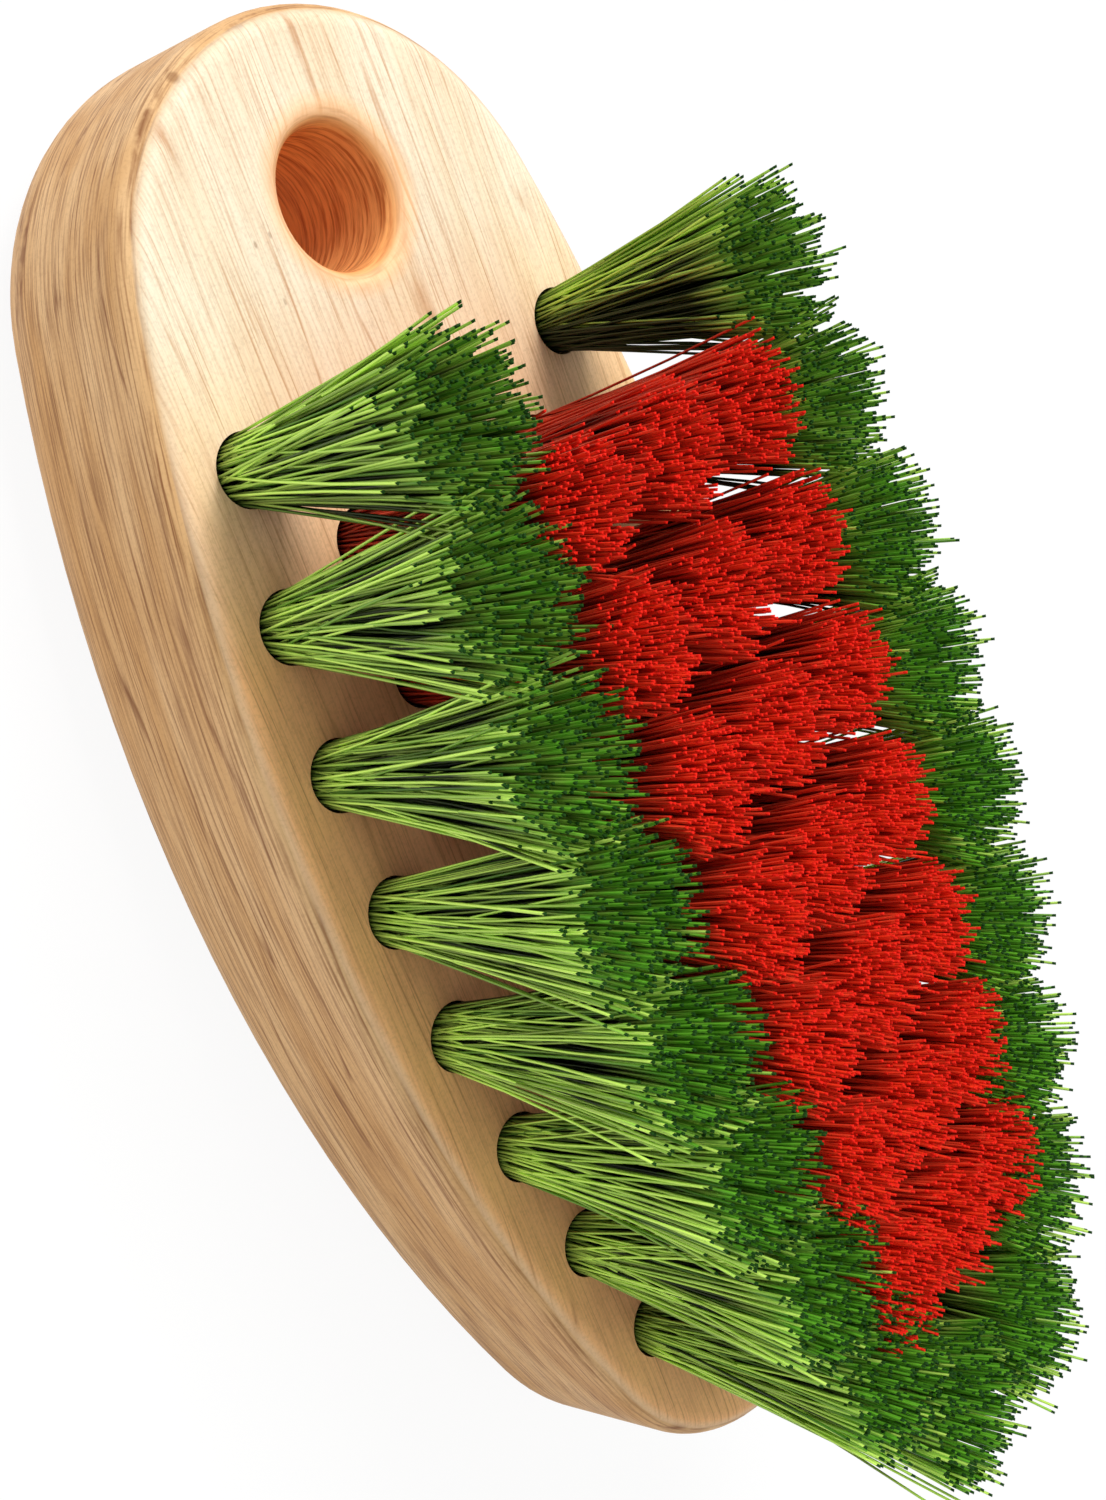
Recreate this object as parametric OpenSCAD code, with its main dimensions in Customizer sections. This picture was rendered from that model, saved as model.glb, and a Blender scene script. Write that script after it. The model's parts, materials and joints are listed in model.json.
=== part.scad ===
// Vegetable brush: an egg-shaped block of solid wood with a hanging hole, and bristle tufts
// folded over flat wire anchors and driven into blind holes in the block's flat face.
// The block lies on its back at z = 0, the bristles point along +Z, the hanging hole is
// towards +X and the toe towards -X. The origin is the middle of the back.

/* [Wooden block] */
// Length of the block from the hole end to the toe
block_length = 140; // [130:1:160]
// Greatest width of the block
block_width = 62; // [60:0.5:66]
// Thickness of the block
block_thickness = 23.5; // [20:0.5:30]
// Radius of the rounded edge round the bristle face
face_edge_radius = 2.5; // [1:0.5:5]
// Radius of the rounded edge round the back
back_edge_radius = 9; // [2:0.5:12]

/* [Hanging hole] */
// Radius of the hanging hole
hanging_hole_radius = 6; // [4:0.25:8]
// Distance from the hole end of the block to the middle of the hanging hole
hanging_hole_from_end = 16; // [14:0.5:20]
// Radius of the rounded rims of the hanging hole
rim_radius = 1.8; // [0.5:0.1:3]

/* [Tuft holes and anchors] */
// Radius of the drilled hole of a tuft
tuft_hole_radius = 3.1; // [2:0.1:3.4]
// Depth of the drilled hole of a tuft
tuft_hole_depth = 12; // [8:0.5:15]
// Gap between a tuft's root and the wall of its hole
root_clearance = 0.05; // [0.02:0.01:0.15]
// Depth of the gathered root's top below the face
root_recess = 1.2; // [0.6:0.1:3]
// Thickness of the flat anchor wire
anchor_thickness = 0.4; // [0.25:0.05:0.8]
// Height of the flat anchor wire
anchor_height = 1.8; // [1:0.1:2.5]
// Length by which each end of an anchor bites into the wood
anchor_bite = 0.4; // [0.2:0.1:1]
// Gap round an anchor in its slot
anchor_clearance = 0.02; // [0.01:0.01:0.06]
// Thickness of the filaments folded under an anchor
fold_thickness = 0.9; // [0.5:0.1:1.5]

/* [Tuft layout] */
// Number of green tufts in the outer ring
ring_tufts = 18; // [14:2:18]
// Distance from the block's outline to the middles of the ring's tufts
ring_inset = 7.6; // [7.4:0.1:9]
// Distance along the block from its hole end to the first tufts of the ring
ring_from_end = 33; // [30:0.5:40]
// Number of red rows inside the ring
red_rows = 3; // [1:2:3]
// Number of red tufts in a row
red_row_tufts = 7; // [3:1:7]
// Distance along the block from the ring's first tufts to the first red tufts
red_start_step = 9.5; // [8:0.5:11]
// Distance across the block from the ring's first tufts to the outer red rows
red_start_gap = 8.5; // [8:0.1:10]
// Distance along the block from the last red tufts to the ring's tufts beside them
red_end_step = 6; // [6:0.5:8]
// Distance across the block from the last red tufts to the ring's tufts beside them
red_end_gap = 4.8; // [4.8:0.1:6]

/* [Bristles] */
// Height of the longest bristles above the face
bristle_height = 28.5; // [20:0.5:40]
// Greatest length by which a bristle falls short of the longest
ragged_length = 2.4; // [0:0.1:4]
// Number of modelled strands in a tuft
tuft_strands = 12; // [8:1:12]
// Radius of a modelled strand at its root
strand_root_radius = 0.42; // [0.3:0.02:0.46]
// Radius of a modelled strand at its tip
strand_tip_radius = 0.62; // [0.4:0.02:0.8]
// Radius of the circle that a tuft's strands fill at the root
root_spread = 2.15; // [1.6:0.05:2.3]
// Radius of the circle that a tuft's strands fill at the tips
tip_spread = 5.1; // [3:0.1:5.2]

/* [Hidden] */
strand_sides = 4;
golden_angle = 137.508;
// Turns that keep one strand and one tuft from looking like the next
strand_turn = 29;
tuft_turn = 47;
// Depth to which the strands are fused into the root
strand_bury = 0.8;
half_length = block_length / 2;
half_width = block_width / 2;

// The outline is four arcs: a round end at each end and a long side arc on each side that
// meets both ends smoothly. The joins lie in the directions of two right triangles with whole
// sides, 7-24-25 towards the hole end and 44-117-125 towards the toe, so that every centre
// and radius is a short multiple of one unit and the four arcs meet exactly.
hole_join_cos = 0.28;
hole_join_sin = 0.96;
toe_join_cos = -0.352;
toe_join_sin = 0.936;
unit = round((half_length - half_width) / 10.44 * 200) / 200;
hole_end_radius = half_length - 12 * unit;
toe_end_radius = half_length - 13 * unit;
side_radius = half_length + 27 * unit;
hole_arc_x = 12 * unit;
toe_arc_x = -13 * unit;
side_arc_x = 1.08 * unit;
side_arc_y = 37.44 * unit;
toe_join = atan2(toe_join_sin, toe_join_cos);

// The ring of tufts follows the outline at its inset, from the first tuft on the +Y side
// round the toe to the first tuft on the -Y side.
ring_side_radius = side_radius - ring_inset;
ring_toe_radius = toe_end_radius - ring_inset;
ring_start = acos((half_length - ring_from_end - side_arc_x) / ring_side_radius);
ring_side_length = (toe_join - ring_start) * PI / 180 * ring_side_radius;
ring_half_length = ring_side_length + (180 - toe_join) * PI / 180 * ring_toe_radius;
ring_pitch = 2 * ring_half_length / (ring_tufts - 1);

hanging_hole_x = half_length - hanging_hole_from_end;
hole_floor = block_thickness - tuft_hole_depth;
root_radius = tuft_hole_radius - root_clearance;
root_top = block_thickness - root_recess;
anchor_base = hole_floor + fold_thickness;
anchor_length = 2 * (tuft_hole_radius + anchor_bite);

red_tufts = red_rows * red_row_tufts;

function two_digits(n) = n < 10 ? str("0", n) : str(n);

GREEN_NODES = [for (i = [1:ring_tufts]) str("green_tuft_", two_digits(i))];
RED_NODES = [for (i = [1:red_tufts]) str("red_tuft_", two_digits(i))];

// A point of the ring's +Y half, at a distance along the ring from its first tuft
function ring_side_point(angle) = [
    side_arc_x + ring_side_radius * cos(angle),
    ring_side_radius * sin(angle) - side_arc_y
];
function ring_toe_point(angle) = [
    toe_arc_x + ring_toe_radius * cos(angle),
    ring_toe_radius * sin(angle)
];
function ring_half_point(s) = s < ring_side_length
    ? ring_side_point(ring_start + s / ring_side_radius * 180 / PI)
    : ring_toe_point(toe_join + (s - ring_side_length) / ring_toe_radius * 180 / PI);
function mirrored(p) = [p.x, -p.y];
function ring_point(s) = s <= ring_half_length
    ? ring_half_point(s)
    : mirrored(ring_half_point(2 * ring_half_length - s));
function green_place(i) = ring_point((i - 1) * ring_pitch);

// Red tufts run row by row. The outer rows are hung from the ring's first tuft and from the
// ring's tuft beside the toe, and the rows draw together towards the toe.
red_start = green_place(1) - [red_start_step, red_start_gap];
red_end = green_place(floor(ring_tufts / 2) - 1) + [red_end_step, -red_end_gap];
function red_share(i) = ((i - 1) % red_row_tufts) / max(1, red_row_tufts - 1);
function red_row(i) = floor((i - 1) / red_row_tufts) - (red_rows - 1) / 2;
function red_side(i) = -red_row(i) / max(1, (red_rows - 1) / 2);
function red_outer(i) = red_start + (red_end - red_start) * red_share(i);
function red_place(i) = [red_outer(i).x, red_side(i) * red_outer(i).y];

GREEN_PLACES = [for (i = [1:ring_tufts]) green_place(i)];
RED_PLACES = [for (i = [1:red_tufts]) red_place(i)];
TUFT_PLACES = concat(GREEN_PLACES, RED_PLACES);

// Half the section of a round puck as thick as the block, with both edges rounded
module puck_section(outer) {
    difference() {
        square([outer, block_thickness]);
        translate([outer - face_edge_radius, block_thickness - face_edge_radius]) difference() {
            square(face_edge_radius + 1);
            circle(r = face_edge_radius);
        }
        translate([outer - back_edge_radius, back_edge_radius]) difference() {
            translate([0, -back_edge_radius - 1]) square(back_edge_radius + 1);
            circle(r = back_edge_radius);
        }
    }
}

// A round puck with rounded edges, from which the arcs of the block are cut
module puck(x, y, radius) {
    whole = floor(y);
    translate([x, whole, 0])
        translate([0, y - whole, 0])
            rotate_extrude($fn = 360)
                puck_section(radius);
}

// The part of a puck that stands over a polygon
module puck_piece(x, y, radius, points) {
    intersection() {
        puck(x, y, radius);
        translate([0, 0, -1]) linear_extrude(block_thickness + 2) polygon(points);
    }
}

module side_piece() {
    reach = 45;
    puck_piece(side_arc_x, -side_arc_y, side_radius, [
        [hole_arc_x, 0],
        [hole_arc_x + reach * hole_join_cos, reach * hole_join_sin],
        [toe_arc_x + reach * toe_join_cos, reach * toe_join_sin],
        [toe_arc_x, 0]
    ]);
}

module end_piece(x, radius, join_cos, join_sin) {
    reach = 50;
    far = x + sign(join_cos) * reach;
    puck_piece(x, 0, radius, [
        [x, 0],
        [x + reach * join_cos, -reach * join_sin],
        [far, -reach * join_sin],
        [far, reach * join_sin],
        [x + reach * join_cos, reach * join_sin]
    ]);
}

module block_solid() {
    end_piece(hole_arc_x, hole_end_radius, hole_join_cos, hole_join_sin);
    end_piece(toe_arc_x, toe_end_radius, toe_join_cos, toe_join_sin);
    side_piece();
    mirror([0, 1, 0]) side_piece();
}

// The hanging hole goes right through, with a rounded rim on each face
module hanging_hole_cut() {
    translate([hanging_hole_x, 0, 0]) {
        translate([0, 0, -1]) cylinder(r = hanging_hole_radius, h = block_thickness + 2, $fn = 96);
        for (side = [0, 1])
            translate([0, 0, side * block_thickness])
                mirror([0, 0, side])
                    rotate_extrude($fn = 96)
                        difference() {
                            translate([0, -1]) square([hanging_hole_radius + rim_radius, rim_radius + 1]);
                            translate([hanging_hole_radius + rim_radius, rim_radius])
                                circle(r = rim_radius, $fn = 48);
                        }
    }
}

// A drilled hole, and the slot that its anchor's ends bite into the wood
module tuft_hole_cut() {
    translate([0, 0, hole_floor]) cylinder(r = tuft_hole_radius, h = tuft_hole_depth + 1, $fn = 48);
    anchor_shape(anchor_clearance);
}

module anchor_shape(gap) {
    translate([-anchor_length / 2 - gap, -anchor_thickness / 2 - gap, anchor_base - gap])
        cube([anchor_length + 2 * gap, anchor_thickness + 2 * gap, anchor_height + 2 * gap]);
}

module handle_block() {
    color([0.87, 0.72, 0.53])
        difference() {
            block_solid();
            hanging_hole_cut();
            for (p = TUFT_PLACES)
                translate([p.x, p.y, 0]) tuft_hole_cut();
        }
}

module anchor_staples() {
    color([0.75, 0.75, 0.76])
        for (p = TUFT_PLACES)
            translate([p.x, p.y, 0]) anchor_shape(0);
}

// A strand stands at a point of a sunflower head that opens from root to tip, so none cross
function scatter(k) = [
    sqrt((k + 0.5) / tuft_strands) * cos(k * golden_angle),
    sqrt((k + 0.5) / tuft_strands) * sin(k * golden_angle)
];
function shortfall(seed) = ragged_length * (0.5 + 0.5 * sin(seed * 77.7));
function ring_of(centre, radius, turn) = [
    for (i = [0:strand_sides - 1])
        centre + [
            radius * cos(turn + i * 360 / strand_sides),
            radius * sin(turn + i * 360 / strand_sides),
            0
        ]
];
STRAND_SIDE_FACES = [
    for (i = [0:strand_sides - 1])
        let (j = (i + 1) % strand_sides)
            each [[i, i + strand_sides, j], [j, i + strand_sides, j + strand_sides]]
];
STRAND_END_FACES = [
    for (i = [1:strand_sides - 2])
        each [[0, i, i + 1], [strand_sides, strand_sides + i + 1, strand_sides + i]]
];

module strand(from, to, turn) {
    polyhedron(
        points = concat(ring_of(from, strand_root_radius, turn), ring_of(to, strand_tip_radius, turn)),
        faces = concat(STRAND_SIDE_FACES, STRAND_END_FACES)
    );
}

// The gathered root of a tuft, folded round its anchor
module tuft_root() {
    difference() {
        translate([0, 0, hole_floor + root_clearance])
            cylinder(r = root_radius, h = root_top - hole_floor - root_clearance, $fn = 48);
        anchor_shape(anchor_clearance);
    }
}

module tuft(place, seed) {
    translate([place.x, place.y, 0])
        rotate([0, 0, seed * tuft_turn])
            union() {
                rotate([0, 0, -seed * tuft_turn]) tuft_root();
                for (k = [0:tuft_strands - 1]) {
                    spread = scatter(k);
                    tip_z = block_thickness + bristle_height - shortfall(seed * 13 + k);
                    strand(
                        [spread.x * root_spread, spread.y * root_spread, root_top - strand_bury],
                        [spread.x * tip_spread, spread.y * tip_spread, tip_z],
                        k * strand_turn
                    );
                }
            }
}

module green_tuft(i) {
    color([0.40, 0.66, 0.16]) tuft(green_place(i), i);
}

module red_tuft(i) {
    color([0.88, 0.10, 0.05]) tuft(red_place(i), i + ring_tufts);
}

handle_block();
anchor_staples();
for (i = [1:ring_tufts])
    green_tuft(i);
for (i = [1:red_tufts])
    red_tuft(i);
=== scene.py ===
"""Looks of the vegetable brush: a sanded wooden block with green and red bristle tufts.

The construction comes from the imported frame. This add-on gives the block and the anchor
wires their finish, replaces each tuft's solid with a full tuft of filaments, and sets the
stage. All places are in metres in the frame's own axes: the back of the block lies on
z = 0, the bristles point along +Z and the hanging hole is towards +X.
"""

import json
import math

import bpy
import numpy as np
from mathutils import Matrix, Vector


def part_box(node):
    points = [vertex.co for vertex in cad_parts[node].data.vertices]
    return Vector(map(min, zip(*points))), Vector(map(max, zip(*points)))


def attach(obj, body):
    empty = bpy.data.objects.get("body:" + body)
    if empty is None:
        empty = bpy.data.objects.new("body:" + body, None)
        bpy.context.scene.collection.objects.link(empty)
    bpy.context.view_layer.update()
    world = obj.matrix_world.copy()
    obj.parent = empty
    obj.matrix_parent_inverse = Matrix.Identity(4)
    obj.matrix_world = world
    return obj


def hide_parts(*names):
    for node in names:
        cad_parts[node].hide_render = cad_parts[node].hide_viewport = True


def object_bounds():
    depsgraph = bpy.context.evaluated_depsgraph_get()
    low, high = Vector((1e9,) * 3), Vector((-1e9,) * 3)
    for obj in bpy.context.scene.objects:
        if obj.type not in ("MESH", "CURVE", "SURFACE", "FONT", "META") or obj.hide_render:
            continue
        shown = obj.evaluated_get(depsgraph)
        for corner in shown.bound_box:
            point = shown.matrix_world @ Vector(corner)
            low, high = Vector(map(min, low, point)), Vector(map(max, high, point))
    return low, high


bl_info = {
    "name": "Vegetable brush",
    "version": (1, 0, 0),
    "blender": (4, 5, 0),
    "location": "3D View > Sidebar > Brush",
    "description": "Finishes the wooden block, the anchors and the bristle tufts of a brush",
    "category": "Object",
}

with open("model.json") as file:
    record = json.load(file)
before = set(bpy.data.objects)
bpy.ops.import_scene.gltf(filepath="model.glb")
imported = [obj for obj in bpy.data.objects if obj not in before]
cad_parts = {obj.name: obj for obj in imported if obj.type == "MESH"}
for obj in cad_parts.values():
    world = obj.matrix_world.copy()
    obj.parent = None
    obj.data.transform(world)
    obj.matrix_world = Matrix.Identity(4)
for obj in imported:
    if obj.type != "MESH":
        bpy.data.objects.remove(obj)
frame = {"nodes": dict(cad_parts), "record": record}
cad_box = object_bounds()

MM = 0.001
BODY = "root"
BLOCK = "handle_block"
ANCHORS = "anchor_staples"
# Sockets of the Mix node when it mixes colours
MIX_A, MIX_B, MIX_RESULT = 6, 7, 2

# Heights of the bristle face and of the bristles' tips
FACE_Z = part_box(BLOCK)[1][2]
TIP_Z = cad_box[1][2]
# The line along the middle that the ring of green tufts stands round: its ends' x
RING_CORE = (-39 * MM, 2 * MM)
# The bristles are cut lower towards the hanging hole: x where that starts, and where it is full
TRIM_RAMP = (-15 * MM, 30 * MM)
# Height of the camera's sensor in millimetres, on which the focal length is based
SENSOR_HEIGHT = 36.0
# Knots and flecks of bark: place in millimetres, radius in millimetres and darkness
KNOTS = (
    (66.5, 11.6, 22.6, 0.65, 0.6),
    (52.7, 10.8, 23.5, 0.2, 0.5),
    (53.0, 9.0, 23.5, 0.2, 0.4),
    (47.8, 10.1, 23.5, 0.2, 0.4),
)
HANGING_HOLE = next(m for m in frame["record"]["mounts"] if m["name"] == "hanging_hole")


def linear(hex_colour):
    """Linear RGBA of an sRGB colour that is written as a hex number."""
    channels = [(hex_colour >> shift & 255) / 255 for shift in (16, 8, 0)]
    lit = [c / 12.92 if c <= 0.04045 else ((c + 0.055) / 1.055) ** 2.4 for c in channels]
    return tuple(lit) + (1.0,)


def darkened(colour, share):
    """A colour at a share of its brightness."""
    return tuple(share * c for c in colour[:3]) + (1.0,)


def colour_property(name, description, hex_colour):
    """A colour that the panel shows, with its default in sRGB hex."""
    return bpy.props.FloatVectorProperty(
        name=name,
        description=description,
        subtype="COLOR",
        size=4,
        min=0.0,
        max=1.0,
        default=linear(hex_colour),
    )


def length_property(name, description, metres):
    """A length that the panel shows, with its default in metres."""
    return bpy.props.FloatProperty(
        name=name, description=description, default=metres, unit="LENGTH", precision=5
    )


def place_property(name, description, metres):
    """A place that the panel shows, with its default in metres."""
    return bpy.props.FloatVectorProperty(
        name=name, description=description, default=metres, subtype="TRANSLATION", precision=5
    )


class BrushWood(bpy.types.PropertyGroup):
    """Colours and grain sizes of the wooden block."""

    # Painted highlight: the upward face is painted pale for the light that falls on it from above
    face: colour_property("Planed face", "The bristle face by the hanging hole, planed pale", 0xEBDFC6)
    face_band: colour_property("Face band", "Deeper tones of the pale face", 0xE4D0AE)
    # Painted shade: the face among the tufts is painted darker and warmer for the tufts' shade; the same
    # warm tone also lies on the rounded rim of the hanging hole
    honey_and_tuft_shade: colour_property("Honey face", "The bristle face among the tufts, warmer in tone", 0xFFC082)
    pale: colour_property("Pale wood", "Early wood on the shaped edges", 0xDDB482)
    warm: colour_property("Warm wood", "Late wood on the shaped edges", 0xC6945A)
    streak: colour_property("Growth line", "Thin dark lines between the years' growth", 0x7E4A22)
    face_line: colour_property("Face line", "Growth lines and fibres on the pale face", 0xB88050)
    fleck: colour_property("Pore", "Fine short dark pores along the grain", 0x7E4E26)
    bore: colour_property("Drilled bore", "Wall of the hanging hole, browned by the drill", 0xFFB870)
    bore_mark: colour_property("Drill mark", "Darker rings that the drill left in the bore", 0xC4723A)
    knot: colour_property("Knot", "Small knots and flecks of bark in the wood", 0x7A4A20)
    face_line_gap: length_property("Face lines", "Spacing of the growth lines on the face", 1.7 * MM)
    edge_line_gap: length_property("Edge lines", "Spacing of the growth lines on the edges", 1.5 * MM)
    # Real pores, fibres and sanding marks are finer, and are drawn coarser so that they show
    pore_length: length_property("Pore length", "Length of a row of pores", 14.0 * MM)
    pore_width: length_property("Pore width", "Width of a row of pores", 0.3 * MM)
    fibre_width: length_property("Fibre width", "Width of a fibre, drawn wide enough to show", 0.23 * MM)
    grit: length_property("Sanding grit", "Size of the marks of the sandpaper", 0.3 * MM)
    # Where along the block the painted shade of the tufts starts, and where it is full
    tuft_shade_from: length_property("Honey start", "Where along the block the tone starts", 50.0 * MM)
    tuft_shade_to: length_property("Honey end", "Where along the block the tone is full", 22.0 * MM)


class BrushBristles(bpy.types.PropertyGroup):
    """Sizes and colours of the bristle tufts."""

    filament_width: length_property("Filament width", "Diameter of one filament", 0.30 * MM)
    root_radius: length_property("Root radius", "Radius of the filaments in the hole", 2.65 * MM)
    green_radius: length_property("Green tips", "Radius of the fan of tips of a green tuft", 7.2 * MM)
    red_radius: length_property("Red tips", "Radius of the fan of tips of a red tuft", 5.3 * MM)
    ragged: length_property("Ragged length", "How unevenly the tips are cut", 1.3 * MM)
    short: length_property("Short", "How far the shortest tips stay below the rest", 3.0 * MM)
    proud: length_property("Proud length", "How far single tips stand above the rest", 0.9 * MM)
    trim: length_property("Trim", "How much lower the bristles are cut by the hanging hole", 2.2 * MM)
    recess: length_property("Recess", "Depth below the face where the filaments spring", 1.4 * MM)
    bow: length_property("Bow", "How far a filament bows out of its straight line", 0.4 * MM)
    dome: length_property("Dome", "How much lower the outermost tips of a tuft are", 0.6 * MM)
    # Painted shade: the ends of sheltered filaments are painted deeper, for the shade inside the tuft
    shaded_end: length_property("Deep tip", "Length of a sheltered filament's deeper end", 6.0 * MM)
    count: bpy.props.IntProperty(
        name="Filaments", description="Filaments in a tuft", default=430, min=20
    )
    green: colour_property("Green", "Palest green filament", 0xD8FF72)
    # Partly painted shade: the darker filaments also stand in for those in the shadow of others
    green_deep: colour_property("Deep green", "Darkest filaments among the green", 0x3A7A18)
    # Painted shade at the ends of sheltered green filaments
    green_tip: colour_property("Green tip", "Upper end of the green filaments", 0x62B428)
    # Painted shade: the cut ends are painted darker, as they turn away from the light
    green_end: colour_property("Green cut end", "Cut ends of the green filaments", 0x163E0A)
    red: colour_property("Red", "Brightest red filament", 0xFF4C2E)
    # Partly painted shade: the darker filaments also stand in for those in the shadow of others
    red_deep: colour_property("Deep red", "Darkest filaments among the red", 0x9C0C06)
    # Painted shade at the ends of sheltered red filaments
    red_tip: colour_property("Red tip", "Upper end of the red filaments", 0xFF3A1C)
    # Painted shade: the cut ends are painted darker, as they turn away from the light
    red_end: colour_property("Red cut end", "Cut ends of the red filaments", 0xE01E0C)


class BrushStage(bpy.types.PropertyGroup):
    """Floor, light and camera."""

    floor: colour_property("Floor", "Colour of the floor", 0xFFFFFF)
    floor_lift: bpy.props.FloatProperty(
        name="Floor lift",
        description="How far the floor is lifted towards white",
        default=0.92,
        subtype="FACTOR",
    )
    wire: colour_property("Anchor wire", "Colour of the flat galvanised anchor wire", 0xB9BBBE)
    sky_strength: bpy.props.FloatProperty(
        name="Sky",
        description="Strength of the soft light all round",
        default=0.68,
        subtype="FACTOR",
    )
    key_power: bpy.props.FloatProperty(
        name="Key lamp", description="Power of the main lamp", default=4.6, unit="POWER"
    )
    key_size: length_property("Key lamp size", "Side of the square main lamp", 300 * MM)
    key_place: place_property(
        "Key lamp place", "Where the main lamp stands", (420 * MM, -120 * MM, 620 * MM)
    )
    key_target: place_property(
        "Key lamp target", "What the main lamp shines at", (0.0, 0.0, 20 * MM)
    )
    camera_place: place_property(
        "Camera", "Where the camera stands", (52.07 * MM, 112.99 * MM, 143.13 * MM)
    )
    camera_target: place_property(
        "Target", "What the camera looks at", (-2.78 * MM, -10.99 * MM, 11.75 * MM)
    )
    camera_roll: bpy.props.FloatProperty(
        name="Roll",
        description="Turn of the camera about its line of sight",
        default=math.radians(86.37),
        subtype="ANGLE",
    )
    focal_length: bpy.props.FloatProperty(
        name="Focal length",
        description="In millimetres, for a picture 36 mm high",
        default=45.32,
        subtype="DISTANCE_CAMERA",
    )
    frame_shift: bpy.props.FloatProperty(
        name="Shift",
        description="How far the view is shifted up, as a share of its height",
        default=0.0027,
        subtype="FACTOR",
        precision=4,
    )


def add_node(tree, kind, out=None, inputs=None, stops=None, **settings):
    """Add a node and return it, or its output of that name or number.

    An input given as a socket is linked, and any other input is set.
    """
    node = tree.nodes.new(kind)
    for name, value in settings.items():
        setattr(node, name, value)
    for name, value in (inputs or {}).items():
        if isinstance(value, bpy.types.NodeSocket):
            tree.links.new(value, node.inputs[name])
        elif isinstance(value, (int, float, bool)):
            node.inputs[name].default_value = value
        else:
            node.inputs[name].default_value = tuple(value)
    if stops:
        elements = node.color_ramp.elements
        while len(elements) < len(stops):
            elements.new(1.0)
        for element, (place, grey) in zip(elements, stops):
            element.position = place
            element.color = (grey, grey, grey, 1.0)
    return node if out is None else node.outputs[out]


def new_material(name):
    """An empty node material with its shader and output: (material, tree, shader)."""
    material = bpy.data.materials.new(name)
    material.use_nodes = True
    tree = material.node_tree
    tree.nodes.clear()
    shader = add_node(tree, "ShaderNodeBsdfPrincipled")
    add_node(tree, "ShaderNodeOutputMaterial", None, {"Surface": shader.outputs["BSDF"]})
    return material, tree, shader


def layered(tree, colour, layers):
    """Lay colours over a first one; a layer is the factors of its share, and its colour."""
    for factors, over in layers:
        share = factors[0]
        for factor in factors[1:]:
            share = add_node(tree, "ShaderNodeMath", 0, {0: share, 1: factor}, operation="MULTIPLY")
        inputs = {0: share, MIX_A: colour, MIX_B: over}
        colour = add_node(tree, "ShaderNodeMix", MIX_RESULT, inputs, data_type="RGBA")
    return colour


def distance_from_bore(tree, place):
    """Distance of a point from the axis of the hanging hole."""
    axis = (HANGING_HOLE["pos_m"][0], HANGING_HOLE["pos_m"][1], 0.0)
    offset = add_node(
        tree, "ShaderNodeVectorMath", "Vector", {0: place, 1: axis}, operation="SUBTRACT"
    )
    flat = add_node(
        tree, "ShaderNodeVectorMath", "Vector", {0: offset, 1: (1.0, 1.0, 0.0)}, operation="MULTIPLY"
    )
    return add_node(tree, "ShaderNodeVectorMath", "Value", {0: flat}, operation="LENGTH")


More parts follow.
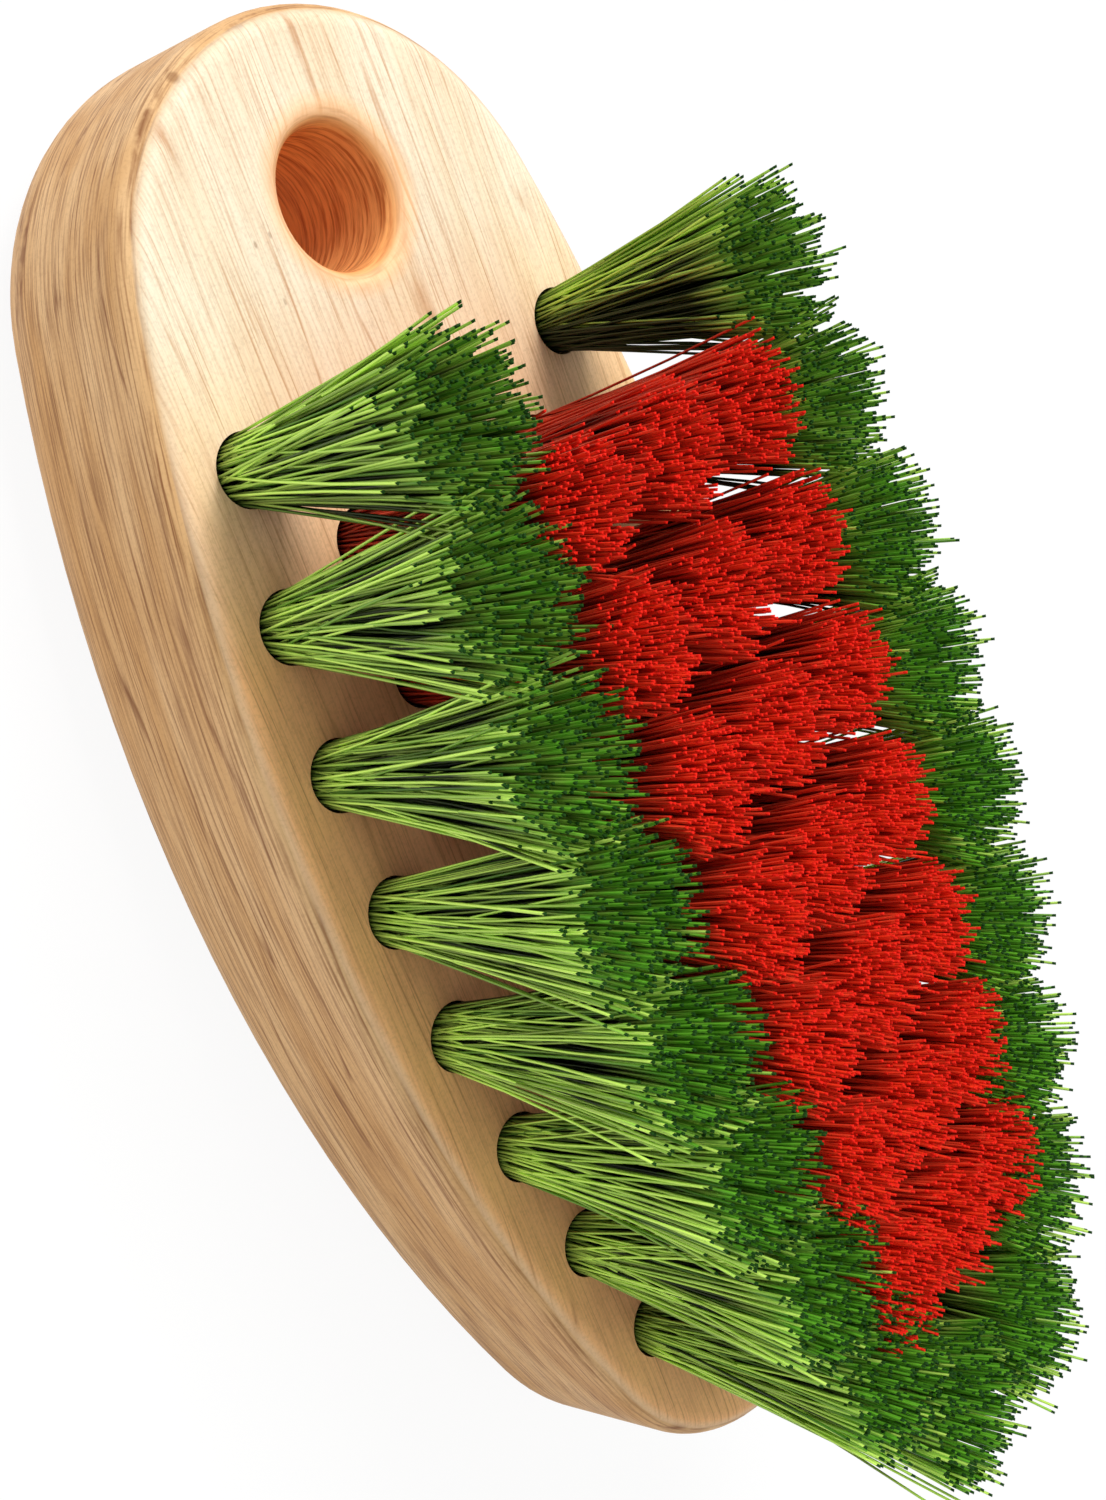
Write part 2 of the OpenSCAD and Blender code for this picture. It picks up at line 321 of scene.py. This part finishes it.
def sanded_beech(wood):
    """Beech, sawn, routed and sanded but not varnished."""
    # Sanded bare beech is matt and pale. The eye sees thin growth lines that follow the length,
    # fine short pores between them, and a browned wall where the drill went through.
    material, tree, shader = new_material("sanded_beech")
    place = add_node(tree, "ShaderNodeTexCoord", "Object")
    along = add_node(tree, "ShaderNodeSeparateXYZ", "X", {"Vector": place})
    normal = add_node(tree, "ShaderNodeTexCoord", "Normal")
    upward = add_node(tree, "ShaderNodeSeparateXYZ", "Z", {"Vector": normal})
    # What faces up, with its rounded edge fading into the shaped sides, is painted pale: a painted
    # highlight of the light from above
    inputs = {"Value": upward, "From Min": 0.72, "From Max": 0.94}
    facing_up = add_node(tree, "ShaderNodeMapRange", "Result", inputs)

    # Length, width and depth of the cells of each noise, its detail and its roughness
    long, wide, fine, grit = wood.pore_length, wood.pore_width, wood.fibre_width, wood.grit
    noises = {
        "face_wander": (75 * MM, 4.5 * MM, 30 * MM, 1.0, 0.5),
        "edge_wander": (60 * MM, 30 * MM, 4 * MM, 1.0, 0.5),
        "tone": (60 * MM, 6 * MM, 4 * MM, 2.0, 0.5),
        "faint": (14 * MM, 2.0 * MM, 1.4 * MM, 3.0, 0.6),
        "face_pores": (long, wide, 16 * wide, 3.0, 0.6),
        "edge_pores": (long, 0.6 * long, wide, 3.0, 0.6),
        "face_fibres": (0.6 * long, fine, 20 * fine, 2.0, 0.6),
        "edge_fibres": (0.6 * long, 0.3 * long, fine, 2.0, 0.6),
        "speckle": (grit, grit, grit, 2.0, 0.5),
        "rings": (5 * MM, 5 * MM, 0.4 * MM, 3.0, 0.65),
    }
    # Grey steps that turn a noise into a mask
    steps = {
        "tone": ((0.38, 0.0), (0.64, 1.0)),
        "faint": ((0.42, 0.08), (0.60, 1.0)),
        "face_pores": ((0.58, 0.0), (0.68, 1.0)),
        "edge_pores": ((0.56, 0.0), (0.66, 1.0)),
        "face_fibres": ((0.44, 0.0), (0.66, 1.0)),
        "edge_fibres": ((0.46, 0.0), (0.70, 1.0)),
        "speckle": ((0.48, 0.0), (0.70, 1.0)),
        "rings": ((0.40, 0.0), (0.64, 1.0)),
    }
    noise, mask = {}, {}
    for name, (length, width, depth, detail, rough) in noises.items():
        scale = (1 / length, 1 / width, 1 / depth)
        cells = add_node(tree, "ShaderNodeMapping", "Vector", {"Vector": place, "Scale": scale})
        inputs = {"Vector": cells, "Scale": 1.0, "Detail": detail, "Roughness": rough}
        noise[name] = add_node(tree, "ShaderNodeTexNoise", "Fac", inputs)
        if name in steps:
            mask[name] = add_node(
                tree, "ShaderNodeValToRGB", "Color", {"Fac": noise[name]}, stops=steps[name]
            )

    # Growth lines stand where the wandering height of the years' layers passes a whole number.
    # The face's lines run along it, and those of the shaped edges lie one above the other.
    wandering_years = 6.0
    # Each line darkens late in its year and fades soon after
    thin_line = ((0.0, 0.1), (0.05, 0.0), (0.8, 0.0), (0.93, 1.0), (1.0, 0.2))
    rises = {"face": (0.0, 1 / wood.face_line_gap, 0.0), "edge": (0.0, 0.0, 1 / wood.edge_line_gap)}
    line = {}
    for side, rise in rises.items():
        level = add_node(
            tree, "ShaderNodeVectorMath", "Value", {0: place, 1: rise}, operation="DOT_PRODUCT"
        )
        inputs = {0: noise[side + "_wander"], 1: wandering_years, 2: level}
        years = add_node(tree, "ShaderNodeMath", 0, inputs, operation="MULTIPLY_ADD")
        year = add_node(tree, "ShaderNodeMath", 0, {0: years}, operation="FRACT")
        line[side] = add_node(tree, "ShaderNodeValToRGB", "Color", {"Fac": year}, stops=thin_line)

    # Painted shade: away from the hanging hole, among the tufts, the face is painted darker and warmer
    inputs = {"Value": along, "From Min": wood.tuft_shade_from, "From Max": wood.tuft_shade_to}
    tuft_shaded = add_node(tree, "ShaderNodeMapRange", "Result", inputs)
    # The drill browned the wall of the bore, and the wood where its rim is rounded is warmer.
    # Distances past the bore's radius at which each tone is gone, and at which it is full
    near_bore = []
    distance = distance_from_bore(tree, place)
    bore_radius = HANGING_HOLE["dims"]["r_mm"] * MM
    for gone, full in ((0.55 * MM, 0.1 * MM), (2.8 * MM, 1.1 * MM)):
        inputs = {"Value": distance, "From Min": bore_radius + gone, "From Max": bore_radius + full}
        near_bore.append(add_node(tree, "ShaderNodeMapRange", "Result", inputs))
    browned, rounded = near_bore
    # From the lowest layer up: the masks that it is limited to, its share and its colour
    layers = [
        ((mask["tone"], 0.8), wood.warm),
        ((line["edge"], mask["faint"], 0.9), wood.streak),
        ((mask["edge_pores"], 0.6), wood.fleck),
        ((mask["edge_fibres"], 0.6), wood.streak),
        # Painted highlight: what faces up is painted pale for the light from above
        ((facing_up,), wood.face),
        ((facing_up, mask["tone"], 0.8), wood.face_band),
        # Painted shade of the tufts on the face
        ((facing_up, tuft_shaded, 0.95), wood.honey_and_tuft_shade),
        ((facing_up, line["face"], mask["faint"], 0.75), wood.face_line),
        ((facing_up, mask["face_pores"], 0.45), wood.face_line),
        ((facing_up, mask["face_fibres"], 0.3), wood.face_line),
        ((mask["speckle"], 0.14), wood.streak),
        ((rounded, 0.6), wood.honey_and_tuft_shade),
        ((rounded, mask["edge_fibres"], 0.5), wood.face_line),
        ((browned,), wood.bore),
        ((browned, mask["rings"]), wood.bore_mark),
    ]
    # Knots are longer along the grain
    stretch = (0.55, 1.0, 1.0)
    for x, y, z, radius, share in KNOTS:
        inputs = {0: place, 1: (x * MM, y * MM, z * MM)}
        away = add_node(tree, "ShaderNodeVectorMath", "Vector", inputs, operation="SUBTRACT")
        inputs = {0: away, 1: stretch}
        squeezed = add_node(tree, "ShaderNodeVectorMath", "Vector", inputs, operation="MULTIPLY")
        reach = add_node(tree, "ShaderNodeVectorMath", "Value", {0: squeezed}, operation="LENGTH")
        inputs = {"Value": reach, "From Min": radius * MM, "From Max": 0.5 * radius * MM}
        spot = add_node(tree, "ShaderNodeMapRange", "Result", inputs)
        layers.append(((spot, share), wood.knot))
    colour = layered(tree, wood.pale, layers)
    inputs = {
        "Height": noise["edge_fibres"],
        "Strength": 0.25,
        "Distance": 0.05 * MM,
        "Filter Width": 0.5,
    }
    bump = add_node(tree, "ShaderNodeBump", "Normal", inputs)
    tree.links.new(colour, shader.inputs["Base Color"])
    tree.links.new(bump, shader.inputs["Normal"])
    shader.inputs["Roughness"].default_value = 0.6
    shader.inputs["Specular IOR Level"].default_value = 0.3
    return material


def galvanised_wire(stage):
    """Steel wire, hot galvanised and rolled flat."""
    # Rolled zinc is grey and softly shiny, with faint lengthwise drawing marks.
    material, tree, shader = new_material("galvanised_wire")
    place = add_node(tree, "ShaderNodeTexCoord", "Object")
    mark_length, mark_width = 4 * MM, 0.1 * MM
    scale = (1 / mark_length, 1 / mark_width, 1 / mark_width)
    stretched = add_node(tree, "ShaderNodeMapping", "Vector", {"Vector": place, "Scale": scale})
    marks = add_node(tree, "ShaderNodeTexNoise", "Fac", {"Vector": stretched, "Scale": 1.0})
    inputs = {"Height": marks, "Strength": 0.2, "Distance": 0.02 * MM}
    tree.links.new(add_node(tree, "ShaderNodeBump", "Normal", inputs), shader.inputs["Normal"])
    shader.inputs["Base Color"].default_value = tuple(stage.wire)
    shader.inputs["Metallic"].default_value = 1.0
    shader.inputs["Roughness"].default_value = 0.38
    return material


def extruded_nylon(name, lit, deep, tip, shaded_end):
    """Nylon filament, extruded and drawn, coloured through."""
    # Drawn nylon is smooth and a little translucent, so each filament carries a soft highlight along its
    # length. No two filaments in a tuft have quite the same tone, and the darker ones are also painted
    # shade, standing in for filaments in the shadow of others.
    material, tree, shader = new_material(name)
    place = add_node(tree, "ShaderNodeTexCoord", "Object")
    height = add_node(tree, "ShaderNodeSeparateXYZ", "Z", {"Vector": place})
    chance = add_node(tree, "ShaderNodeNewGeometry", "Random Per Island")
    sheltered = add_node(tree, "ShaderNodeAttribute", "Fac", attribute_name="sheltered")
    # Tone that differs at random between filaments, whose darker share is also painted shade
    tone_and_shade = add_node(
        tree, "ShaderNodeValToRGB", "Color", {"Fac": chance}, stops=((0.5, 0.0), (1.0, 0.9))
    )
    # Sheltered filaments are painted deeper at their ends, a painted shade where one looks down into the
    # tuft, and painted dark further down and where they are packed in the hole, where little light
    # reaches them. The lower and upper height of each change, and the share at each of the two
    changes = (
        (TIP_Z - shaded_end, TIP_Z - 0.3 * shaded_end, 0.0, 0.95),
        (TIP_Z - 9.0 * MM, TIP_Z - 2.0 * MM, 0.97, 0.0),
        (FACE_Z - 1.0 * MM, FACE_Z + 3.0 * MM, 0.85, 0.0),
    )
    shares = []
    for low, high, at_low, at_high in changes:
        inputs = {
            "Value": height,
            "From Min": low,
            "From Max": high,
            "To Min": at_low,
            "To Max": at_high,
        }
        shares.append(add_node(tree, "ShaderNodeMapRange", "Result", inputs))
    end, buried, packed = shares
    dark = darkened(deep, 0.04)
    shadow = darkened(deep, 0.3)
    layers = [
        ((tone_and_shade,), deep),
        # Painted shade at the ends of sheltered filaments
        ((end, sheltered), tip),
        ((end, sheltered, tone_and_shade, 0.9), shadow),
        ((buried, sheltered), dark),
        ((packed,), dark),
    ]
    tree.links.new(layered(tree, lit, layers), shader.inputs["Base Color"])
    shader.inputs["Roughness"].default_value = 0.42
    shader.inputs["IOR"].default_value = 1.53
    shader.inputs["Specular IOR Level"].default_value = 0.25
    return material


def shaded_sheared_nylon(name, colour):
    """The ends of nylon filaments, sheared off, their colour painted darker as shade."""
    # A sheared end is rough, and its colour is painted darker, a painted shade of end faces that turn
    # away from the light.
    material, tree, shader = new_material(name)
    place = add_node(tree, "ShaderNodeTexCoord", "Object")
    tear_width = 0.1 * MM
    tears = add_node(tree, "ShaderNodeTexNoise", "Fac", {"Vector": place, "Scale": 1 / tear_width})
    inputs = {"Height": tears, "Strength": 0.4, "Distance": 0.02 * MM}
    tree.links.new(add_node(tree, "ShaderNodeBump", "Normal", inputs), shader.inputs["Normal"])
    shader.inputs["Base Color"].default_value = tuple(colour)
    shader.inputs["Roughness"].default_value = 0.8
    shader.inputs["Specular IOR Level"].default_value = 0.15
    return material


def tuft_root(node):
    """The middle of the drilled hole that a tuft's solid stands in, on the hole's floor."""
    foot_height = 0.5 * MM
    points = np.array([v.co[:] for v in frame["nodes"][node].data.vertices])
    low = points[:, 2].min()
    foot = points[points[:, 2] < low + foot_height]
    middle = (foot.min(axis=0) + foot.max(axis=0)) / 2
    return middle[0], middle[1], low


def sunflower(count):
    """Points spread evenly over a disc of radius 1, as (radius, angle) arrays."""
    golden_angle = math.radians(137.508)
    index = np.arange(count)
    return np.sqrt((index + 0.5) / count), index * golden_angle


def filament_lines(root, fan, bristles, rng, rings):
    """Centre lines of a tuft's filaments (filament, ring, coordinate), and their places in it.

    The places are the direction of each filament from the middle and its share of the radius.
    """
    # Spread of the directions that the filaments take, in radians, and of how far out they end
    turn_spread, reach_spread = 0.55, 0.09
    # Under 1 this moves the tips outwards
    outward = 0.9
    stray_share, stray_reach = 0.07, (1.1, 1.4)
    short_share = 0.15
    # Mean and spread of the uneven cut, and the random and the inward bow: shares of those lengths
    cut_mean, cut_spread = 0.15, 0.5
    random_bow, inward_bow = 0.4, 0.6

    count = bristles.count
    radius, angle = sunflower(count)
    angle = angle + rng.uniform(0, 2 * math.pi)
    # The filaments leave the hole in slightly different directions, so many of them cross
    tip_angle = angle + rng.normal(0, turn_spread, count)
    tip_radius = radius**outward * (1 + rng.normal(0, reach_spread, count))
    stray = rng.random(count) < stray_share
    tip_radius *= np.where(stray, rng.uniform(*stray_reach, count), 1.0)
    heading = np.stack([np.cos(angle), np.sin(angle)], 1)
    spread = np.stack([np.cos(tip_angle), np.sin(tip_angle)], 1) * tip_radius[:, None]
    foot = heading * radius[:, None] * bristles.root_radius
    middle = np.array(root[:2])
    low = np.array(cad_box[0][:2]) - bristles.proud
    high = np.array(cad_box[1][:2]) + bristles.proud
    # No tip reaches further past the brush's sides than single tips stand above the rest
    tip = np.clip(middle + spread * fan, low, high)
    trim_start, trim_full = TRIM_RAMP
    toward_hole = min(max((root[0] - trim_start) / (trim_full - trim_start), 0.0), 1.0)
    fall = bristles.dome * tip_radius**2 + bristles.trim * toward_hole
    short = rng.random(count) < short_share
    fall = fall + np.where(short, rng.uniform(0, 1, count), 0.0) * bristles.short
    tip_z = TIP_Z - rng.normal(cut_mean, cut_spread, count) * bristles.ragged - fall
    tip_z = np.minimum(tip_z, TIP_Z + bristles.proud)
    start = np.column_stack([middle + foot, np.full(count, FACE_Z - bristles.recess)])
    end = np.column_stack([tip, tip_z])
    sideways = random_bow * rng.normal(0, 1, (count, 2)) - inward_bow * heading * radius[:, None]
    bend = np.column_stack([sideways * bristles.bow, np.zeros(count)])
    t = np.array(rings)[None, :, None]
    lines = start[:, None] * (1 - t) + end[:, None] * t + bend[:, None] * (4 * t * (1 - t))
    return lines, heading, radius


def sheltered_shares(root, heading, radius, crowded):
    """How little light each filament gets, from 0 in the open to 1 deep among the others."""
    # Shares of a tuft's radius: how far out its shelter starts, and within how much it is full
    shelter_start, shelter_growth = 0.95, 0.2
    # Shelter of the outermost filaments in a crowded tuft, and how much deeper the others stand
    crowd_least, crowd_more = 0.2, 0.7
    # Cosine of the angle to the ring's middle up to which a filament counts as fully inner
    fully_inner = 0.6

    depth = np.clip((shelter_start - radius) / shelter_growth, 0, 1)
    if crowded:
        return crowd_least + crowd_more * depth
    # The ring of tufts stands round the others and shelters its inner side
    inner = np.array([min(max(root[0], RING_CORE[0]), RING_CORE[1]) - root[0], -root[1]])
    facing = heading @ (inner / np.linalg.norm(inner))
    return np.maximum(depth, np.clip(facing / fully_inner, 0, 1))


def tubes(lines, radius, sides):
    """Points, walls and end caps of a tube round each line."""
    count, rings, _ = lines.shape
    step = np.gradient(lines, axis=1)
    step /= np.linalg.norm(step, axis=2, keepdims=True)
    across = np.cross(step, [0.0, 1.0, 0.0])
    across /= np.linalg.norm(across, axis=2, keepdims=True)
    beside = np.cross(step, across)
    turn = np.arange(sides) * 2 * math.pi / sides
    circle = (
        across[:, :, None] * np.cos(turn)[None, None, :, None]
        + beside[:, :, None] * np.sin(turn)[None, None, :, None]
    )
    points = (lines[:, :, None] + radius * circle).reshape(-1, 3)
    ring = np.arange(rings - 1)[:, None] * sides
    here = np.arange(sides)[None, :]
    following = (here + 1) % sides
    above = ring + sides
    wall = np.stack([ring + here, ring + following, above + following, above + here], axis=-1)
    first = np.arange(count) * rings * sides
    walls = (first[:, None, None] + wall.reshape(-1, 4)[None]).reshape(-1, 4)
    caps = first[:, None] + (rings - 1) * sides + np.arange(sides)[None]
    return points, walls, caps


def packed_root(root, radius, top, sides=32):
    """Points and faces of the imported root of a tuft, from the hole's floor up to its top."""
    x, y, low = root
    turns = [2 * math.pi * i / sides for i in range(sides)]
    circle = [(x + radius * math.cos(turn), y + radius * math.sin(turn)) for turn in turns]
    points = [(*place, z) for z in (low, top) for place in circle]
    faces = [(i, (i + 1) % sides, sides + (i + 1) % sides, sides + i) for i in range(sides)]
    faces.append(tuple(reversed(range(sides))))
    faces.append(tuple(range(sides, 2 * sides)))
    return points, faces


def make_tuft(node, name, materials, seed, fan, crowded, bristles):
    """Replace a tuft's solid by a packed root and a fan of filaments."""
    rng = np.random.default_rng(seed)
    root = tuft_root(node)
    # The last ring but one stands close to the end, and the piece between looks like the cut end
    rings, sides = (0.0, 0.33, 0.66, 0.989, 1.0), 3
    lines, heading, radius = filament_lines(root, fan, bristles, rng, rings)
    points, walls, caps = tubes(lines, bristles.filament_width / 2, sides)
    pack_radius = bristles.root_radius + bristles.filament_width
    pack_points, pack_faces = packed_root(root, pack_radius, FACE_Z - bristles.recess)
    first = len(points)
    faces = walls.tolist() + caps.tolist() + [tuple(first + i for i in face) for face in pack_faces]
    mesh = bpy.data.meshes.new(name)
    mesh.from_pydata(points.tolist() + pack_points, [], faces)
    # Of a filament's rows of walls, only the last is cut, and it takes the painted shade of the cut ends
    one_filament = np.repeat([0] * (len(rings) - 2) + [1], sides)
    cut_and_shaded = np.zeros(len(faces), dtype=np.int32)
    cut_and_shaded[:len(walls)] = np.tile(one_filament, bristles.count)
    cut_and_shaded[len(walls):len(walls) + len(caps)] = 1
    mesh.polygons.foreach_set("material_index", cut_and_shaded)
    mesh.polygons.foreach_set("use_smooth", np.arange(len(faces)) < len(walls))
    shares = np.repeat(sheltered_shares(root, heading, radius, crowded), len(rings) * sides)
    shares = np.concatenate([shares, np.ones(len(pack_points))])
    mesh.attributes.new("sheltered", "FLOAT", "POINT").data.foreach_set("value", shares)
    mesh.update()
    for material in materials:
        mesh.materials.append(material)
    tuft = bpy.data.objects.new(name, mesh)
    bpy.context.scene.collection.objects.link(tuft)
    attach(tuft, BODY)
    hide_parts(node)


def nodes_called(start):
    """The frame's nodes whose names start so, in order."""
    names = sorted(n for n in frame["nodes"] if n.startswith(start))
    if not names:
        raise RuntimeError(f"the frame has no node called {start}")
    return names


def paint(obj, material):
    """Give all of an object one material."""
    obj.data.materials.clear()
    obj.data.materials.append(material)


def smooth_shading():
    """Node group that shades a mesh smooth, apart from its sharp edges."""
    sharp_angle = math.radians(35)
    same_point = 0.001 * MM
    tree = bpy.data.node_groups.new("smooth_shading", "GeometryNodeTree")
    tree.interface.new_socket("Geometry", in_out="INPUT", socket_type="NodeSocketGeometry")
    tree.interface.new_socket("Geometry", in_out="OUTPUT", socket_type="NodeSocketGeometry")
    mesh = add_node(tree, "NodeGroupInput", "Geometry")
    inputs = {"Geometry": mesh, "Distance": same_point}
    mesh = add_node(tree, "GeometryNodeMergeByDistance", "Geometry", inputs)
    inputs = {"Geometry": mesh, "Shade Smooth": True}
    mesh = add_node(tree, "GeometryNodeSetShadeSmooth", "Geometry", inputs, domain="FACE")
    angle = add_node(tree, "GeometryNodeInputMeshEdgeAngle", "Unsigned Angle")
    settings = {"data_type": "FLOAT", "operation": "GREATER_THAN"}
    inputs = {"A": angle, "B": sharp_angle}
    sharp = add_node(tree, "FunctionNodeCompare", "Result", inputs, **settings)
    inputs = {"Geometry": mesh, "Selection": sharp, "Shade Smooth": False}
    mesh = add_node(tree, "GeometryNodeSetShadeSmooth", "Geometry", inputs, domain="EDGE")
    add_node(tree, "NodeGroupOutput", None, {"Geometry": mesh})
    return tree


class BRUSH_OT_block(bpy.types.Operator):
    """Finish the wooden block: smooth shading and sanded beech"""

    bl_idname = "brush.block"
    bl_label = "Wooden block"

    def execute(self, context):
        block = frame["nodes"][BLOCK]
        paint(block, sanded_beech(context.scene.brush_wood))
        block.modifiers.new("smooth", "NODES").node_group = smooth_shading()
        # Large faces keep their own direction, so the flat sides stay flat to the eye
        weighted = block.modifiers.new("weighted", "WEIGHTED_NORMAL")
        weighted.keep_sharp = True
        weighted.weight = 90
        return {"FINISHED"}


class BRUSH_OT_anchors(bpy.types.Operator):
    """Finish the flat anchor wires in the tuft holes"""

    bl_idname = "brush.anchors"
    bl_label = "Anchor wires"

    def execute(self, context):
        paint(frame["nodes"][ANCHORS], galvanised_wire(context.scene.brush_stage))
        return {"FINISHED"}


class BRUSH_OT_green_tufts(bpy.types.Operator):
    """Make the outer ring of green tufts"""

    bl_idname = "brush.green_tufts"
    bl_label = "Green tufts"

    def execute(self, context):
        bristles = context.scene.brush_bristles
        colours = bristles.green, bristles.green_deep, bristles.green_tip
        materials = [
            extruded_nylon("extruded_green_nylon", *colours, bristles.shaded_end),
            shaded_sheared_nylon("shaded_sheared_green_nylon", bristles.green_end),
        ]
        for i, node in enumerate(nodes_called("green_tuft"), start=1):
            name = f"green_bristles_{i:02d}"
            fan = bristles.green_radius
            make_tuft(node, name, materials, i, fan, False, bristles)
        return {"FINISHED"}


class BRUSH_OT_red_tufts(bpy.types.Operator):
    """Make the rows of red tufts"""

    bl_idname = "brush.red_tufts"
    bl_label = "Red tufts"

    def execute(self, context):
        bristles = context.scene.brush_bristles
        colours = bristles.red, bristles.red_deep, bristles.red_tip
        materials = [
            extruded_nylon("extruded_red_nylon", *colours, bristles.shaded_end),
            shaded_sheared_nylon("shaded_sheared_red_nylon", bristles.red_end),
        ]
        # The seeds of the red tufts come after those of the green ones
        green_seeds = 100
        for i, node in enumerate(nodes_called("red_tuft"), start=1):
            name = f"red_bristles_{i:02d}"
            seed = green_seeds + i
            fan = bristles.red_radius
            make_tuft(node, name, materials, seed, fan, True, bristles)
        return {"FINISHED"}


def matt_floor(stage):
    """Matt white card."""
    # Card scatters light evenly, so it shows only the soft shadow.
    material, tree, shader = new_material("white_card")
    place = add_node(tree, "ShaderNodeTexCoord", "Object")
    tooth_width = 0.5 * MM
    tooth = add_node(tree, "ShaderNodeTexNoise", "Fac", {"Vector": place, "Scale": 1 / tooth_width})
    inputs = {"Height": tooth, "Strength": 0.05, "Distance": 0.01 * MM}
    tree.links.new(add_node(tree, "ShaderNodeBump", "Normal", inputs), shader.inputs["Normal"])
    shader.inputs["Base Color"].default_value = tuple(stage.floor)
    shader.inputs["Roughness"].default_value = 1.0
    shader.inputs["Specular IOR Level"].default_value = 0.0
    # What the camera and reflections see is lifted towards white, and keeps part of the shadow
    seen = seen_directly(tree)
    lift = add_node(tree, "ShaderNodeMath", 0, {0: seen, 1: stage.floor_lift}, operation="MULTIPLY")
    inputs = {"Color": (1.0, 1.0, 1.0, 1.0), "Strength": 1.0}
    white = add_node(tree, "ShaderNodeEmission", "Emission", inputs)
    inputs = {0: lift, 1: shader.outputs["BSDF"], 2: white}
    lifted = add_node(tree, "ShaderNodeMixShader", "Shader", inputs)
    tree.links.new(lifted, tree.nodes["Material Output"].inputs["Surface"])
    return material


def seen_directly(tree):
    """1 for rays from the camera and for those that a shiny or clear surface sends on, else 0."""
    rays = add_node(tree, "ShaderNodeLightPath").outputs
    seen = rays["Is Camera Ray"]
    for other in ("Is Glossy Ray", "Is Transmission Ray"):
        seen = add_node(tree, "ShaderNodeMath", 0, {0: seen, 1: rays[other]}, operation="MAXIMUM")
    return seen


def light_the_sky(scene, stage):
    """Soft white light all round, which the camera and reflections see as plain white."""
    world = bpy.data.worlds.new("studio")
    world.use_nodes = True
    tree = world.node_tree
    tree.nodes.clear()
    inputs = {"Value": seen_directly(tree), "To Min": stage.sky_strength, "To Max": 1.0}
    strength = add_node(tree, "ShaderNodeMapRange", "Result", inputs)
    inputs = {"Color": (1.0, 1.0, 1.0, 1.0), "Strength": strength}
    sky = add_node(tree, "ShaderNodeBackground", "Background", inputs)
    add_node(tree, "ShaderNodeOutputWorld", None, {"Surface": sky})
    scene.world = world


def add_lamp(name, place, target, size, power):
    """A square soft lamp that shines at a target."""
    data = bpy.data.lights.new(name, "AREA")
    data.size = size
    data.energy = power
    lamp = bpy.data.objects.new(name, data)
    bpy.context.scene.collection.objects.link(lamp)
    lamp.location = place
    lamp.rotation_euler = (Vector(place) - Vector(target)).to_track_quat("Z", "Y").to_euler()


def add_camera(scene, stage):
    """The camera at the photograph's viewing angle, turned about its line of sight."""
    data = bpy.data.cameras.new("camera")
    data.sensor_fit = "VERTICAL"
    data.sensor_height = SENSOR_HEIGHT
    data.lens = stage.focal_length
    data.clip_start = 5 * MM
    data.shift_y = stage.frame_shift
    camera = bpy.data.objects.new("camera", data)
    scene.collection.objects.link(camera)
    back = (Vector(stage.camera_place) - Vector(stage.camera_target)).normalized()
    level = Vector((0.0, 0.0, 1.0)).cross(back).normalized()
    up = back.cross(level)
    right = level * math.cos(stage.camera_roll) + up * math.sin(stage.camera_roll)
    turned_up = back.cross(right)
    turn = Matrix((right, turned_up, back)).transposed().to_4x4()
    camera.matrix_world = Matrix.Translation(stage.camera_place) @ turn
    scene.camera = camera


class BRUSH_OT_stage(bpy.types.Operator):
    """Set the floor, the light and the camera"""

    bl_idname = "brush.stage"
    bl_label = "Stage"

    def execute(self, context):
        scene = context.scene
        stage = scene.brush_stage
        reach = 3.0
        mesh = bpy.data.meshes.new("floor")
        corners = [(x * reach, y * reach, 0.0) for x, y in ((-1, -1), (1, -1), (1, 1), (-1, 1))]
        mesh.from_pydata(corners, [], [(0, 1, 2, 3)])
        floor = bpy.data.objects.new("floor", mesh)
        scene.collection.objects.link(floor)
        paint(floor, matt_floor(stage))
        light_the_sky(scene, stage)
        add_lamp("key", stage.key_place, stage.key_target, stage.key_size, stage.key_power)
        add_camera(scene, stage)
        scene.view_settings.view_transform = "Standard"
        return {"FINISHED"}


class BRUSH_PT_panel(bpy.types.Panel):
    """Lists the brush's operators and settings"""

    bl_idname = "BRUSH_PT_panel"
    bl_label = "Vegetable brush"
    bl_space_type = "VIEW_3D"
    bl_region_type = "UI"
    bl_category = "Brush"

    def draw(self, context):
        for operator in OPERATORS:
            self.layout.operator(operator.bl_idname)
        for name in SETTINGS:
            group = getattr(context.scene, name)
            box = self.layout.box()
            for key in group.bl_rna.properties.keys():
                if key not in ("rna_type", "name"):
                    box.prop(group, key)


OPERATORS = (
    BRUSH_OT_block,
    BRUSH_OT_anchors,
    BRUSH_OT_green_tufts,
    BRUSH_OT_red_tufts,
    BRUSH_OT_stage,
)
SETTINGS = {"brush_wood": BrushWood, "brush_bristles": BrushBristles, "brush_stage": BrushStage}
CLASSES = tuple(SETTINGS.values()) + OPERATORS + (BRUSH_PT_panel,)


def register():
    """Add the classes and the scene's settings."""
    for item in CLASSES:
        bpy.utils.register_class(item)
    for name, group in SETTINGS.items():
        setattr(bpy.types.Scene, name, bpy.props.PointerProperty(type=group))


def unregister():
    """Take the settings and classes away again."""
    for name in SETTINGS:
        delattr(bpy.types.Scene, name)
    for item in reversed(CLASSES):
        bpy.utils.unregister_class(item)


def main():
    """Make the whole brush and its stage."""
    register()
    for operator in OPERATORS:
        group, name = operator.bl_idname.split(".")
        getattr(getattr(bpy.ops, group), name)()


if __name__ == "__main__":
    main()
